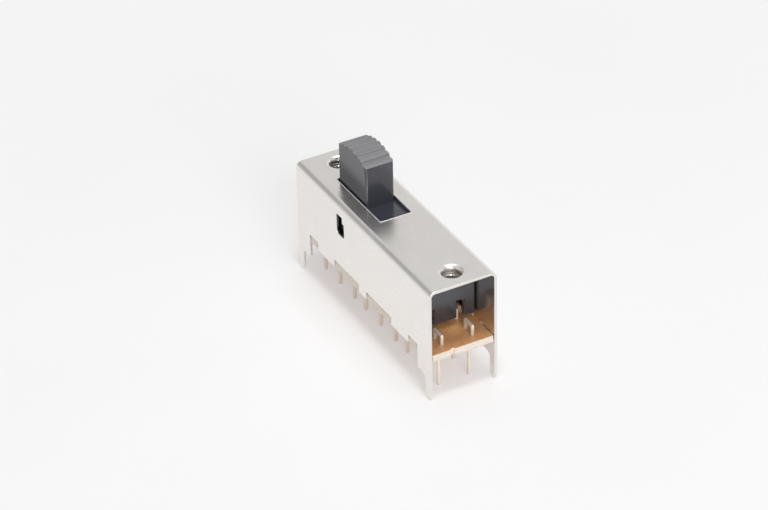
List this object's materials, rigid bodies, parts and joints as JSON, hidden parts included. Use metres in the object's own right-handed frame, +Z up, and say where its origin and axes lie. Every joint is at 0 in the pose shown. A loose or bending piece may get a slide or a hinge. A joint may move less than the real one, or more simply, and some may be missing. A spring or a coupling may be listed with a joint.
{
  "type": "slide switch",
  "caption": "Slide switch with a folded sheet-metal housing, a ribbed knob that slides in a slot, tapped end holes, and a laminate board carrying rows of solder pins.",
  "frame": {"origin": "midway between the four legs, level with the tips of the legs and pins", "axes": "+X along the slide, the way the knob moves from its rest position; +Z up out of the circuit board, through the knob; +Y across the housing"},
  "size_m": [0.035, 0.0098, 0.0228],
  "materials": {
    "plated_steel": "satin bright nickel plating",
    "laminate": "phenolic paper laminate, pressed surface, cut edges",
    "moulded_plastic": "semi-gloss moulded thermoplastic",
    "plated_brass": "bright tin-plated wire",
    "plated_bronze": "silver-plated strip"
  },
  "bodies": {
    "base": {"housing": "plated_steel", "base_board": "laminate", "terminal_left_1": "plated_brass", "terminal_left_2": "plated_brass", "terminal_left_3": "plated_brass", "terminal_left_4": "plated_brass", "terminal_left_5": "plated_brass", "terminal_left_6": "plated_brass", "terminal_left_7": "plated_brass", "terminal_left_8": "plated_brass", "terminal_left_9": "plated_brass", "terminal_right_1": "plated_brass", "terminal_right_2": "plated_brass", "terminal_right_3": "plated_brass", "terminal_right_4": "plated_brass", "terminal_right_5": "plated_brass", "terminal_right_6": "plated_brass", "terminal_right_7": "plated_brass", "terminal_right_8": "plated_brass", "terminal_right_9": "plated_brass"},
    "slide": {"slider": "moulded_plastic", "contact_left_1": "plated_bronze", "contact_left_2": "plated_bronze", "contact_left_3": "plated_bronze", "contact_right_1": "plated_bronze", "contact_right_2": "plated_bronze", "contact_right_3": "plated_bronze"}
  },
  "joints": [
    {"name": "knob_slide", "type": "slide", "parent": "base", "child": "slide", "axis": [1, 0, 0], "range_m": [0, 0.0038]}
  ]
}
